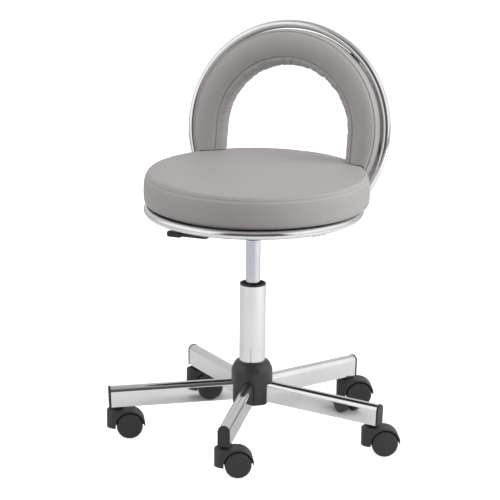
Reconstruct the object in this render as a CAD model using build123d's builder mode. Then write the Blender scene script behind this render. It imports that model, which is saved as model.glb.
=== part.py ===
"""Round pedicure stool with a horseshoe backrest held in a chrome ring, on a gas lift and a five-arm base.

Millimetres. +Z is up, the floor is Z = 0 and the lift column stands on the Z axis. A person on the stool
faces -Y, so the backrest is at +Y and the height lever is on the person's right, at -X.
"""

from build123d import *
from math import cos, radians, sin, tan
import os

os.makedirs("parts", exist_ok=True)

# ---- driving dimensions -------------------------------------------------------------------------

# seat
SEAT_TOP = 512.0
CUSHION_BOTTOM = 451.2
CUSHION_TOP_RADIUS = 208.0
CUSHION_BELLY_RADIUS = 213.5
CUSHION_BOTTOM_RADIUS = 204.0
CUSHION_BELLY_Z = 474.0
CUSHION_EDGE = 7.0
CUSHION_SETBACK = 14.6
BOARD_THICKNESS = 15.0
BOARD_TOP = 451.0
BOARD_RADIUS = 188.0

# the two rings, bent from the same tube
TUBE_RADIUS = 8.0
TUBE_WALL = 1.5
RING_RADIUS = 200.0
SEAT_RING_Z = 442.7
BACK_RING_Y = 177.6
BACK_RING_Z = 564.8
BACK_TILT = 10.95

# backrest pad, measured forward from the plane of its ring
BACK_BOARD_REAR = -7.7
BACK_BOARD_THICKNESS = 10.0
BACK_BOARD_RADIUS = 188.5
PAD_FRONT = 31.0
PAD_RADIUS = 190.0
PAD_EDGE = 7.0
ARCH_RADIUS = 126.0
ARCH_DROP = 4.0
LEG_BOTTOM = 472.0
LEG_GAP_BOTTOM = 500.0
LEG_GAP_RADIUS = 211.0
LEG_SLOPE_RADIUS = 161.0
LEG_SLOPE_HEIGHT = 11.5
BOARD_ARCH_MARGIN = 3.0
BOARD_END_MARGIN = 7.0
CUSHION_CLEARANCE = 1.0
UNDER_SEAT_RADIUS = 300.0
UNDER_SEAT_DEPTH = 140.0

# gas lift
COLUMN_RADIUS = 25.0
COLUMN_WALL = 2.0
COLUMN_BOTTOM = 62.0
COLUMN_TOP = 296.0
PRESSURE_RADIUS = 14.0
PRESSURE_WALL = 2.0
PRESSURE_BOTTOM = 200.0
PRESSURE_TOP = 412.0
ROD_RADIUS = 5.0
BUSH_TOP = 299.0
BUSH_BOTTOM = 212.0
RUNNING_FIT = 0.05

# base
ARM_COUNT = 5
FIRST_ARM_ANGLE = -79.1
ARM_WIDTH = 22.0
ARM_HEIGHT = 39.8
ARM_WALL = 2.0
ARM_TIP_RADIUS = 272.5
ARM_TIP_TOP = 100.2
ARM_FALL = 2.3
CAP_THICKNESS = 4.0
CAP_OVERHANG = 0.6
CAP_PLUG = 4.5
HUB_RADIUS = 39.5
HUB_BOTTOM = 65.0
HUB_TOP = 146.0
HUB_SHOULDER = 124.0
HUB_WALL = 3.0
HUB_NECK_RADIUS = 27.2
CORE_RADIUS = 31.0
CORE_TOP = 138.0

# casters
CASTER_CIRCLE = 258.7
CASTER_HEADING = 26.6
WHEEL_RADIUS = 25.0
TRAIL = 22.9
HOOD_TOP = 55.0
HOOD_BOTTOM = 20.0
HOOD_HALF_WIDTH = 20.5
HOOD_EDGE = 2.5
HOOD_TAIL_CORNER = 9.0
HOOD_TAIL_REACH = 100.0
WEB_HALF_WIDTH = 7.5
WHEEL_INNER_FACE = 8.2
WHEEL_OUTER_FACE = 21.5
WHEEL_GAP = 2.0
FENDER_THICKNESS = 3.0
STEM_RADIUS = 5.5
STEM_FOOT_RADIUS = 5.0
AXLE_RADIUS = 4.0

# height lever
LEVER_ROD_RADIUS = 4.0
LEVER_HIGH_Z = 423.2
LEVER_LOW_Z = 377.0
LEVER_PIVOT_X = -24.0
GRIP_TIP_X = -177.5
GRIP_LENGTH = 31.0
GRIP_HEIGHT = 11.0
GRIP_WIDTH = 16.0

# seat plate under the board
PLATE_THICKNESS = 3.0
PLATE_LENGTH = 150.0
PLATE_WIDTH = 130.0
SOCKET_RADIUS = 20.0
SOCKET_BOTTOM = 386.0
HOUSING_LENGTH = 84.0
HOUSING_WIDTH = 54.0
HOUSING_DEPTH = 26.0

# ---- sizes worked out from them -----------------------------------------------------------------

BOARD_BOTTOM = BOARD_TOP - BOARD_THICKNESS
PLATE_BOTTOM = BOARD_BOTTOM - PLATE_THICKNESS
HOUSING_BOTTOM = PLATE_BOTTOM - HOUSING_DEPTH
ARM_ANGLES = [FIRST_ARM_ANGLE + number * 360 / ARM_COUNT for number in range(ARM_COUNT)]

# the plane of the backrest ring: its x runs sideways, its y up the back, its z forward
BACK_PLANE = Plane(
    origin=(0, BACK_RING_Y, BACK_RING_Z),
    x_dir=(1, 0, 0),
    z_dir=(0, -cos(radians(BACK_TILT)), sin(radians(BACK_TILT))),
)


def write(shape, name):
    """Label one finished piece and write it to its own file."""
    shape.label = name
    export_step(shape, f"parts/{name}.step")


def write_copy(shape, name, place):
    """Write a copy of a piece, moved to its place on the stool."""
    with BuildPart() as copy:
        with Locations(place):
            add(shape)
    write(copy.part, name)


def tube_ring(plane, vent_angle):
    """A ring bent from round tube, lying in a plane, with the small vent hole that welding needs."""
    with BuildPart() as ring:
        with Locations(plane.location):
            Torus(RING_RADIUS, TUBE_RADIUS)
            Torus(RING_RADIUS, TUBE_RADIUS - TUBE_WALL, mode=Mode.SUBTRACT)
            with Locations(Location((0, 0, -TUBE_RADIUS), (0, 0, vent_angle))):
                with Locations((RING_RADIUS, 0, 0)):
                    Cylinder(1.5, 2 * TUBE_WALL + 2, mode=Mode.SUBTRACT)
    return ring.part


def arm_outline(width, height):
    """The arm's section, hung from its top at the sketch's origin: flat sides under a half-round top."""
    radius = width / 2
    with BuildLine() as outline:
        Line((-radius, -height), (radius, -height))
        Line((radius, -height), (radius, -radius))
        RadiusArc((radius, -radius), (-radius, -radius), -radius)
        Line((-radius, -radius), (-radius, -height))
    make_face(outline.edges())


# ---- seat ---------------------------------------------------------------------------------------

seat_ring_plane = Plane.XY.offset(SEAT_RING_Z)
seat_ring = tube_ring(seat_ring_plane, 90)
write(seat_ring, "seat_ring")

backrest_ring = tube_ring(BACK_PLANE, -90)
write(backrest_ring, "backrest_ring")

with BuildPart() as seat_board:
    with BuildSketch(Plane.XY.offset(BOARD_BOTTOM)):
        Circle(BOARD_RADIUS)
    extrude(amount=BOARD_THICKNESS)
    chamfer(seat_board.edges().filter_by(GeomType.CIRCLE), 1.5)
write(seat_board.part, "seat_board")


def cushion_profile(clearance):
    """Half section of the seat cushion, grown by a clearance all round."""
    top = SEAT_TOP + clearance
    bottom = CUSHION_BOTTOM - clearance
    belly = (CUSHION_BELLY_RADIUS + clearance, CUSHION_BELLY_Z)
    rim = (CUSHION_TOP_RADIUS + clearance, top - CUSHION_EDGE)
    top_edge = (CUSHION_TOP_RADIUS - CUSHION_EDGE, top)
    with BuildLine() as outline:
        Line((0, bottom), (CUSHION_BOTTOM_RADIUS, bottom))
        Spline((CUSHION_BOTTOM_RADIUS, bottom), belly, rim, tangents=((1, 0.55), (-0.12, 1)))
        RadiusArc(rim, top_edge, -1.15 * CUSHION_EDGE)
        Line(top_edge, (0, top))
        Line((0, top), (0, bottom))
    make_face(outline.edges())


cushion_plane = Plane(origin=(0, CUSHION_SETBACK, 0), x_dir=(1, 0, 0), z_dir=(0, -1, 0))
cushion_axis = Axis((0, CUSHION_SETBACK, 0), (0, 0, 1))

with BuildPart() as seat_cushion:
    with BuildSketch(cushion_plane):
        cushion_profile(0)
    revolve(axis=cushion_axis)
    with Locations(BACK_PLANE.location):
        Torus(RING_RADIUS, TUBE_RADIUS + 1, mode=Mode.SUBTRACT)
write(seat_cushion.part, "seat_cushion")

# what the backrest has to stay out of: the cushion, a low cone over it that slopes the ends of the legs
# back behind its rim, and everything below its belly
with BuildPart() as seat_space:
    with BuildSketch(cushion_plane):
        cushion_profile(CUSHION_CLEARANCE)
    revolve(axis=cushion_axis)
    with BuildSketch(cushion_plane):
        with BuildLine():
            Polyline(
                (0, LEG_GAP_BOTTOM),
                (LEG_GAP_RADIUS, LEG_GAP_BOTTOM),
                (LEG_GAP_RADIUS, SEAT_TOP),
                (LEG_SLOPE_RADIUS, SEAT_TOP + LEG_SLOPE_HEIGHT),
                (0, SEAT_TOP + LEG_SLOPE_HEIGHT),
                close=True,
            )
        make_face()
    revolve(axis=cushion_axis)
    with BuildSketch(Plane.XY.offset(LEG_BOTTOM - UNDER_SEAT_DEPTH)):
        Circle(UNDER_SEAT_RADIUS)
    extrude(amount=UNDER_SEAT_DEPTH)

# four flat tabs welded under the ring and screwed to the board
TAB_ANGLES = (30, 150, 210, 330)
TAB_INNER = 150.0
TAB_OUTER = 196.0
TAB_WIDTH = 30.0
TAB_THICKNESS = 4.0
TAB_SCREW_RADIUS = 165.0
SCREW_SHANK = 2.5

with BuildPart() as ring_tabs:
    for angle in TAB_ANGLES:
        tab_plane = Plane.XY.offset(BOARD_BOTTOM - TAB_THICKNESS).rotated((0, 0, angle))
        with BuildSketch(tab_plane):
            with Locations(((TAB_INNER + TAB_OUTER) / 2, 0)):
                Rectangle(TAB_OUTER - TAB_INNER, TAB_WIDTH)
            with Locations((TAB_SCREW_RADIUS, 0)):
                Circle(SCREW_SHANK + 0.2, mode=Mode.SUBTRACT)
        extrude(amount=TAB_THICKNESS)
    with Locations(seat_ring_plane.location):
        Torus(RING_RADIUS, TUBE_RADIUS, mode=Mode.SUBTRACT)
write(ring_tabs.part, "ring_tabs")


def screw(length, head_radius, head_height):
    """A pan-head screw, pointing up from the underside of its head at the origin."""
    with BuildPart() as piece:
        with BuildSketch(Plane.XY.offset(-head_height)):
            Circle(head_radius)
        extrude(amount=head_height)
        chamfer(piece.edges().sort_by(Axis.Z)[0], head_height / 3)
        with BuildSketch(Plane.XY):
            Circle(SCREW_SHANK)
        extrude(amount=length)
        with BuildSketch(Plane.XY.offset(-head_height)):
            Rectangle(head_radius, 1.2)
            Rectangle(1.2, head_radius)
        extrude(amount=head_height / 2, mode=Mode.SUBTRACT)
    return piece.part


# ---- seat plate with its taper socket and lever housing -----------------------------------------

PLATE_HOLE_PITCH = (PLATE_LENGTH - 26, PLATE_WIDTH - 26)

with BuildPart() as seat_plate:
    with BuildSketch(Plane.XY.offset(PLATE_BOTTOM)):
        RectangleRounded(PLATE_LENGTH, PLATE_WIDTH, 12)
        with GridLocations(*PLATE_HOLE_PITCH, 2, 2):
            Circle(SCREW_SHANK + 0.2, mode=Mode.SUBTRACT)
    extrude(amount=PLATE_THICKNESS)
    with BuildSketch(Plane.XY.offset(HOUSING_BOTTOM)):
        RectangleRounded(HOUSING_LENGTH, HOUSING_WIDTH, 8)
    extrude(amount=HOUSING_DEPTH)
    with BuildSketch(Plane.XY.offset(HOUSING_BOTTOM + 2.5)):
        RectangleRounded(HOUSING_LENGTH - 5, HOUSING_WIDTH - 5, 6)
    extrude(amount=HOUSING_DEPTH - 2.5, mode=Mode.SUBTRACT)
    with BuildSketch(Plane.XY.offset(SOCKET_BOTTOM)):
        Circle(SOCKET_RADIUS)
    extrude(amount=PRESSURE_TOP - SOCKET_BOTTOM - 1)
    with BuildSketch(Plane.XY.offset(SOCKET_BOTTOM)):
        Circle(PRESSURE_RADIUS)
    extrude(amount=PRESSURE_TOP - SOCKET_BOTTOM, mode=Mode.SUBTRACT)
    # the slot that the lever leaves by
    with Locations((-HOUSING_LENGTH / 2, 0, LEVER_HIGH_Z + 0.5)):
        Box(12, 14, 17, mode=Mode.SUBTRACT)
    # the holes for the lever's pivot pin
    with Locations(Location((LEVER_PIVOT_X, 0, LEVER_HIGH_Z), (90, 0, 0))):
        Cylinder(2.0, HOUSING_WIDTH + 10, mode=Mode.SUBTRACT)
write(seat_plate.part, "seat_plate")

# the same wood screws hold the plate and the ring's tabs to the board
seat_screw = screw(14, 5.0, 3.0)
with BuildPart() as seat_screws:
    with Locations((0, 0, PLATE_BOTTOM)):
        with GridLocations(*PLATE_HOLE_PITCH, 2, 2):
            add(seat_screw)
    for angle in TAB_ANGLES:
        x = TAB_SCREW_RADIUS * cos(radians(angle))
        y = TAB_SCREW_RADIUS * sin(radians(angle))
        with Locations((x, y, BOARD_BOTTOM - TAB_THICKNESS)):
            add(seat_screw)
write(seat_screws.part, "seat_screws")

# ---- height lever and gas-lift valve ------------------------------------------------------------

with BuildPart() as lever_rod:
    with BuildLine() as lever_path:
        FilletPolyline(
            (5, 0, LEVER_HIGH_Z),
            (-52, 0, LEVER_HIGH_Z),
            (-96, 0, LEVER_LOW_Z),
            (GRIP_TIP_X + 6, 0, LEVER_LOW_Z),
            radius=16,
        )
    with BuildSketch(Plane(origin=(5, 0, LEVER_HIGH_Z), z_dir=(-1, 0, 0))):
        Circle(LEVER_ROD_RADIUS)
    sweep()
    with Locations(Location((LEVER_PIVOT_X, 0, LEVER_HIGH_Z), (90, 0, 0))):
        Cylinder(2.0 + RUNNING_FIT, 20, mode=Mode.SUBTRACT)
write(lever_rod.part, "lever_rod")

with BuildPart() as lever_grip:
    grip_middle = GRIP_TIP_X + GRIP_LENGTH / 2
    with BuildSketch(Plane(origin=(grip_middle, 0, LEVER_LOW_Z), x_dir=(1, 0, 0), z_dir=(0, 0, 1))):
        RectangleRounded(GRIP_LENGTH, GRIP_WIDTH, 6)
    extrude(amount=GRIP_HEIGHT / 2, both=True)
    grip_rims = lever_grip.faces().filter_by(Axis.Z)
    fillet(grip_rims.edges(), 3.5)
    with Locations(Location((grip_middle + 6, 0, LEVER_LOW_Z), (0, 90, 0))):
        Cylinder(LEVER_ROD_RADIUS, GRIP_LENGTH, mode=Mode.SUBTRACT)
write(lever_grip.part, "lever_grip")

with BuildPart() as lever_pivot:
    with Locations(Location((LEVER_PIVOT_X, 0, LEVER_HIGH_Z), (90, 0, 0))):
        Cylinder(2.0, HOUSING_WIDTH + 2)
write(lever_pivot.part, "lever_pivot")

with BuildPart() as valve_pin:
    with BuildSketch(Plane.XY.offset(PRESSURE_TOP - 8)):
        Circle(3.0)
    extrude(amount=LEVER_HIGH_Z - LEVER_ROD_RADIUS - 0.2 - PRESSURE_TOP + 8)
    chamfer(valve_pin.edges().sort_by(Axis.Z)[-1], 0.6)
write(valve_pin.part, "valve_pin")

with BuildPart() as pressure_tube:
    with BuildSketch(Plane.XY.offset(PRESSURE_BOTTOM)):
        Circle(PRESSURE_RADIUS)
    extrude(amount=PRESSURE_TOP - PRESSURE_BOTTOM)
    with BuildSketch(Plane.XY.offset(PRESSURE_BOTTOM + 10)):
        Circle(PRESSURE_RADIUS - PRESSURE_WALL)
    extrude(amount=PRESSURE_TOP - PRESSURE_BOTTOM - 22, mode=Mode.SUBTRACT)
    # the rod's guide at the bottom and the valve's bore at the top
    with BuildSketch(Plane.XY.offset(PRESSURE_BOTTOM)):
        Circle(ROD_RADIUS + RUNNING_FIT)
    extrude(amount=10, mode=Mode.SUBTRACT)
    with BuildSketch(Plane.XY.offset(PRESSURE_TOP - 12)):
        Circle(3.0 + RUNNING_FIT)
    extrude(amount=12, mode=Mode.SUBTRACT)
write(pressure_tube.part, "pressure_tube")

# ---- backrest -----------------------------------------------------------------------------------


def horseshoe(outer_radius, arch_radius):
    """Face of the backrest: a disc with an arched opening cut up from its bottom edge."""
    Circle(outer_radius)
    with Locations((0, -ARCH_DROP)):
        Circle(arch_radius, mode=Mode.SUBTRACT)
    with Locations((0, -ARCH_DROP - outer_radius / 2)):
        Rectangle(2 * arch_radius, outer_radius, mode=Mode.SUBTRACT)


with BuildPart() as backrest_board:
    with BuildSketch(BACK_PLANE.offset(BACK_BOARD_REAR)):
        horseshoe(BACK_BOARD_RADIUS, ARCH_RADIUS + BOARD_ARCH_MARGIN)
    extrude(amount=BACK_BOARD_THICKNESS)
    with Locations((0, 0, BOARD_END_MARGIN)):
        add(seat_space.part, mode=Mode.SUBTRACT)
write(backrest_board.part, "backrest_board")

with BuildPart() as backrest_pad:
    with BuildSketch(BACK_PLANE.offset(BACK_BOARD_REAR + BACK_BOARD_THICKNESS)):
        horseshoe(PAD_RADIUS, ARCH_RADIUS)
    extrude(amount=PAD_FRONT - BACK_BOARD_REAR - BACK_BOARD_THICKNESS)
    front_face = backrest_pad.faces().sort_by(Axis(BACK_PLANE.origin, BACK_PLANE.z_dir))[-1]
    fillet(front_face.edges(), PAD_EDGE)
    add(seat_space.part, mode=Mode.SUBTRACT)
write(backrest_pad.part, "backrest_pad")

# flat tabs welded behind the ring, screwed to the board
BACK_TAB_ANGLES = (-8, 50, 130, 188)
BACK_TAB_THICKNESS = 3.0
BACK_TAB_INNER = 160.0
BACK_TAB_OUTER = 201.0
BACK_TAB_SCREW_RADIUS = 170.0
BACK_TAB_WELD = 0.3
back_tab_rear = BACK_BOARD_REAR - BACK_TAB_THICKNESS

with BuildPart() as backrest_tabs:
    for angle in BACK_TAB_ANGLES:
        along = (cos(radians(angle)), sin(radians(angle)))
        with BuildSketch(BACK_PLANE.offset(back_tab_rear)):
            with Locations(Location(((BACK_TAB_INNER + BACK_TAB_OUTER) / 2 * along[0],
                                     (BACK_TAB_INNER + BACK_TAB_OUTER) / 2 * along[1], 0), (0, 0, angle))):
                RectangleRounded(BACK_TAB_OUTER - BACK_TAB_INNER, 24, 5)
            with Locations((BACK_TAB_SCREW_RADIUS * along[0], BACK_TAB_SCREW_RADIUS * along[1])):
                Circle(SCREW_SHANK + 0.2, mode=Mode.SUBTRACT)
        extrude(amount=BACK_TAB_THICKNESS)
write(backrest_tabs.part, "backrest_tabs")

back_screw = screw(8 + BACK_TAB_THICKNESS, 4.5, 2.5)
with BuildPart() as backrest_screws:
    for angle in BACK_TAB_ANGLES:
        x = BACK_TAB_SCREW_RADIUS * cos(radians(angle))
        y = BACK_TAB_SCREW_RADIUS * sin(radians(angle))
        with Locations(BACK_PLANE.offset(back_tab_rear).location):
            with Locations((x, y, 0)):
                add(back_screw)
write(backrest_screws.part, "backrest_screws")

# the bent bar that ties the bottom of the backrest ring to the seat plate
BAR_THICKNESS = 5.0
BAR_WIDTH = 40.0
BAR_START_Y = 34.0
bar_level = PLATE_BOTTOM - BAR_THICKNESS / 2
ring_foot_y = BACK_RING_Y - RING_RADIUS * sin(radians(BACK_TILT))
ring_foot_z = BACK_RING_Z - RING_RADIUS * cos(radians(BACK_TILT))
bar_corner_y = ring_foot_y + (bar_level - ring_foot_z) * tan(radians(BACK_TILT))

with BuildPart() as backrest_bracket:
    with BuildSketch(Plane.YZ):
        with BuildLine():
            FilletPolyline(
                (BAR_START_Y, bar_level),
                (bar_corner_y, bar_level),
                (ring_foot_y, ring_foot_z),
                radius=12,
            )
        trace(line_width=BAR_THICKNESS)
    extrude(amount=BAR_WIDTH / 2, both=True)
    with Locations(BACK_PLANE.location):
        Torus(RING_RADIUS, TUBE_RADIUS, mode=Mode.SUBTRACT)
    with Locations(BACK_PLANE.location):
        Torus(RING_RADIUS, TUBE_RADIUS - TUBE_WALL, mode=Mode.SUBTRACT)
write(backrest_bracket.part, "backrest_bracket")

# ---- gas-lift column ----------------------------------------------------------------------------

COLUMN_FLOOR = 4.0
BALL_RADIUS = 2.5
WASHER_THICKNESS = 2.0
WASHER_RADIUS = 12.0
ROD_NECK_RADIUS = 4.0
RACE_RADIUS = 8.5
washer_low = COLUMN_BOTTOM + COLUMN_FLOOR
ball_centre = washer_low + WASHER_THICKNESS + BALL_RADIUS
washer_high = ball_centre + BALL_RADIUS
rod_shoulder = washer_high + WASHER_THICKNESS
rod_foot = COLUMN_BOTTOM - 6.0
piston_bottom = PRESSURE_BOTTOM + 14.0

with BuildPart() as column_tube:
    with BuildSketch(Plane.XY.offset(COLUMN_BOTTOM)):
        Circle(COLUMN_RADIUS)
    extrude(amount=COLUMN_TOP - COLUMN_BOTTOM)
    with BuildSketch(Plane.XY.offset(COLUMN_BOTTOM + COLUMN_FLOOR)):
        Circle(COLUMN_RADIUS - COLUMN_WALL)
    extrude(amount=COLUMN_TOP - COLUMN_BOTTOM, mode=Mode.SUBTRACT)
    with BuildSketch(Plane.XY.offset(COLUMN_BOTTOM)):
        Circle(ROD_NECK_RADIUS + RUNNING_FIT)
    extrude(amount=COLUMN_FLOOR, mode=Mode.SUBTRACT)
write(column_tube.part, "column_tube")

with BuildPart() as guide_bush:
    with BuildSketch(Plane.XY.offset(BUSH_BOTTOM)):
        Circle(COLUMN_RADIUS - COLUMN_WALL - 0.02)
    extrude(amount=COLUMN_TOP - BUSH_BOTTOM)
    with BuildSketch(Plane.XY.offset(COLUMN_TOP)):
        Circle(COLUMN_RADIUS)
    extrude(amount=BUSH_TOP - COLUMN_TOP)
    fillet(guide_bush.edges().sort_by(Axis.Z)[-1], 0.8)
    with BuildSketch(Plane.XY.offset(BUSH_TOP - 4)):
        Circle(COLUMN_RADIUS - 5.0)
    extrude(amount=4, taper=-20, mode=Mode.SUBTRACT)
    with BuildSketch(Plane.XY.offset(BUSH_BOTTOM)):
        Circle(PRESSURE_RADIUS + RUNNING_FIT)
    extrude(amount=BUSH_TOP - BUSH_BOTTOM, mode=Mode.SUBTRACT)
write(guide_bush.part, "guide_bush")

for name, level in (("bearing_washer_lower", washer_low), ("bearing_washer_upper", washer_high)):
    with BuildPart() as washer:
        with BuildSketch(Plane.XY.offset(level)):
            Circle(WASHER_RADIUS)
            Circle(ROD_NECK_RADIUS + RUNNING_FIT, mode=Mode.SUBTRACT)
        extrude(amount=WASHER_THICKNESS)
    write(washer.part, name)

with BuildPart() as bearing_balls:
    with Locations((0, 0, ball_centre)):
        with PolarLocations(RACE_RADIUS, 9):
            Sphere(BALL_RADIUS - 0.02)
write(bearing_balls.part, "bearing_balls")

with BuildPart() as rubber_bumper:
    with BuildSketch(Plane.XY.offset(rod_shoulder)):
        Circle(WASHER_RADIUS)
        Circle(ROD_RADIUS, mode=Mode.SUBTRACT)
    extrude(amount=14)
    fillet(rubber_bumper.edges().group_by(Axis.Z)[-1], 2)
write(rubber_bumper.part, "rubber_bumper")

with BuildPart() as piston_rod:
    with BuildSketch(Plane.XY.offset(rod_foot)):
        Circle(ROD_NECK_RADIUS)
    extrude(amount=rod_shoulder - rod_foot)
    with BuildSketch(Plane.XY.offset(rod_shoulder)):
        Circle(ROD_RADIUS)
    extrude(amount=piston_bottom - rod_shoulder)
    with BuildSketch(Plane.XY.offset(piston_bottom)):
        Circle(ROD_NECK_RADIUS)
    extrude(amount=8)
    # the groove that the clip snaps into, under the column's floor
    with BuildSketch(Plane.XY.offset(COLUMN_BOTTOM - 3.0)):
        Circle(ROD_NECK_RADIUS)
        Circle(ROD_NECK_RADIUS - 1, mode=Mode.SUBTRACT)
    extrude(amount=1.6, mode=Mode.SUBTRACT)
write(piston_rod.part, "piston_rod")

with BuildPart() as rod_clip:
    with BuildSketch(Plane.XY.offset(COLUMN_BOTTOM - 2.9)):
        Circle(8.0)
        Circle(ROD_NECK_RADIUS - 0.98, mode=Mode.SUBTRACT)
        with Locations((6, 0)):
            Rectangle(12, 4.4, mode=Mode.SUBTRACT)
    extrude(amount=1.4)
write(rod_clip.part, "rod_clip")

with BuildPart() as piston:
    with BuildSketch(Plane.XY.offset(piston_bottom)):
        Circle(PRESSURE_RADIUS - PRESSURE_WALL - RUNNING_FIT)
        Circle(ROD_NECK_RADIUS, mode=Mode.SUBTRACT)
    extrude(amount=8)
write(piston.part, "piston")

# ---- base: core, arms, caps and hub cover -------------------------------------------------------

ARM_START = 30.0
arm_length = (ARM_TIP_RADIUS - ARM_START) / cos(radians(ARM_FALL))
arm_direction = (cos(radians(ARM_FALL)), 0, -sin(radians(ARM_FALL)))
arm_root_top = ARM_TIP_TOP + (ARM_TIP_RADIUS - ARM_START) * tan(radians(ARM_FALL))
arm_root = Plane(origin=(ARM_START, 0, arm_root_top), x_dir=(0, 1, 0), z_dir=arm_direction)
arm_tip = Plane(origin=(ARM_TIP_RADIUS, 0, ARM_TIP_TOP), x_dir=(0, 1, 0), z_dir=arm_direction)
inner_width = ARM_WIDTH - 2 * ARM_WALL
inner_height = ARM_HEIGHT - 2 * ARM_WALL
inner_root = Plane(origin=arm_root.origin - arm_root.y_dir * ARM_WALL, x_dir=(0, 1, 0), z_dir=arm_direction)
SOCKET_OUTER = 7.5
SOCKET_TOP = 94.0
SOCKET_COLLAR_RADIUS = 9.0
SOCKET_COLLAR_TOP = 60.4
ARM_HOLE_TOP = 65.0
socket_floor = HOOD_TOP + 0.6

with BuildPart() as arm:
    with BuildSketch(arm_root):
        arm_outline(ARM_WIDTH, ARM_HEIGHT)
    extrude(amount=arm_length)
    with BuildSketch(inner_root):
        arm_outline(inner_width, inner_height)
    extrude(amount=arm_length, mode=Mode.SUBTRACT)
    with BuildSketch(Plane.XY):
        Circle(CORE_RADIUS + 0.02)
    extrude(amount=HUB_TOP, mode=Mode.SUBTRACT)
    with BuildSketch(Plane.XY.offset(HOOD_TOP)):
        with Locations((CASTER_CIRCLE, 0)):
            Circle(SOCKET_OUTER + 0.05)
    extrude(amount=ARM_HOLE_TOP - HOOD_TOP, mode=Mode.SUBTRACT)

with BuildPart() as arm_cap:
    cap_top = arm_tip.origin + arm_tip.y_dir * CAP_OVERHANG
    with BuildSketch(Plane(origin=cap_top, x_dir=(0, 1, 0), z_dir=arm_direction)):
        arm_outline(ARM_WIDTH + 2 * CAP_OVERHANG, ARM_HEIGHT + 2 * CAP_OVERHANG)
    extrude(amount=CAP_THICKNESS)
    outer_face = arm_cap.faces().sort_by(Axis(arm_tip.origin, arm_tip.z_dir))[-1]
    fillet(outer_face.edges(), 1.2)
    plug_top = arm_tip.origin - arm_tip.y_dir * (ARM_WALL + 0.05)
    with BuildSketch(Plane(origin=plug_top, x_dir=(0, 1, 0), z_dir=arm_direction)):
        arm_outline(inner_width - 0.1, inner_height - 0.1)
    extrude(amount=-CAP_PLUG)

with BuildPart() as arm_caps:
    for angle in ARM_ANGLES:
        with Locations(Location((0, 0, 0), (0, 0, angle))):
            add(arm_cap.part)
write(arm_caps.part, "arm_caps")

with BuildPart() as stem_socket:
    with BuildSketch(Plane.XY.offset(socket_floor)):
        with Locations((CASTER_CIRCLE, 0)):
            Circle(SOCKET_OUTER)
    extrude(amount=SOCKET_TOP - socket_floor)
    with BuildSketch(Plane.XY.offset(socket_floor)):
        with Locations((CASTER_CIRCLE, 0)):
            Circle(SOCKET_COLLAR_RADIUS)
    extrude(amount=SOCKET_COLLAR_TOP - socket_floor)
    with BuildSketch(Plane.XY.offset(socket_floor)):
        with Locations((CASTER_CIRCLE, 0)):
            Circle(STEM_RADIUS + 0.02)
    extrude(amount=SOCKET_TOP - socket_floor - 2, mode=Mode.SUBTRACT)

with BuildPart() as stem_sockets:
    for angle in ARM_ANGLES:
        with Locations(Location((0, 0, 0), (0, 0, angle))):
            add(stem_socket.part)
write(stem_sockets.part, "stem_sockets")

with BuildPart() as hub_core:
    with BuildSketch(Plane.XY.offset(COLUMN_BOTTOM)):
        Circle(CORE_RADIUS)
        Circle(COLUMN_RADIUS + 0.02, mode=Mode.SUBTRACT)
    extrude(amount=CORE_TOP - COLUMN_BOTTOM)
    chamfer(hub_core.edges().group_by(Axis.Z)[-1].sort_by(SortBy.RADIUS)[-1], 2)
write(hub_core.part, "hub_core")

with BuildPart() as hub_cover:
    with BuildSketch(Plane.XZ):
        with BuildLine():
            inner_neck = COLUMN_RADIUS + 0.2
            wall_inside = HUB_RADIUS - HUB_WALL
            Line((HUB_RADIUS, HUB_BOTTOM), (HUB_RADIUS, HUB_SHOULDER))
            Spline(
                (HUB_RADIUS, HUB_SHOULDER),
                (HUB_RADIUS - 4.5, HUB_TOP - 7.0),
                (HUB_NECK_RADIUS, HUB_TOP),
                tangents=((0, 1), (-1, 0.15)),
            )
            Line((HUB_NECK_RADIUS, HUB_TOP), (inner_neck, HUB_TOP))
            Line((inner_neck, HUB_TOP), (inner_neck, CORE_TOP + 0.5))
            Line((inner_neck, CORE_TOP + 0.5), (CORE_RADIUS - 1, CORE_TOP + 0.5))
            Line((CORE_RADIUS - 1, CORE_TOP + 0.5), (wall_inside, HUB_SHOULDER))
            Line((wall_inside, HUB_SHOULDER), (wall_inside, HUB_BOTTOM))
            Line((wall_inside, HUB_BOTTOM), (HUB_RADIUS, HUB_BOTTOM))
        make_face()
    revolve(axis=Axis.Z)
    # a slot for each arm, open at the bottom
    for angle in ARM_ANGLES:
        slot_top = arm_root.origin + arm_root.y_dir * 0.5
        slot_plane = Plane(
            origin=slot_top.rotate(Axis.Z, angle),
            x_dir=arm_root.x_dir.rotate(Axis.Z, angle),
            z_dir=arm_root.z_dir.rotate(Axis.Z, angle),
        )
        with BuildSketch(slot_plane):
            arm_outline(ARM_WIDTH + 1, ARM_HEIGHT + 6)
        extrude(amount=20, mode=Mode.SUBTRACT)
write(hub_cover.part, "hub_cover")

# ---- casters ------------------------------------------------------------------------------------

# one caster stands with its stem on the Z axis and its wheels trailing towards +X
fender_radius = WHEEL_RADIUS + WHEEL_GAP + FENDER_THICKNESS
pocket_radius = WHEEL_RADIUS + WHEEL_GAP
STEM_FOOT = 29.0

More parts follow.
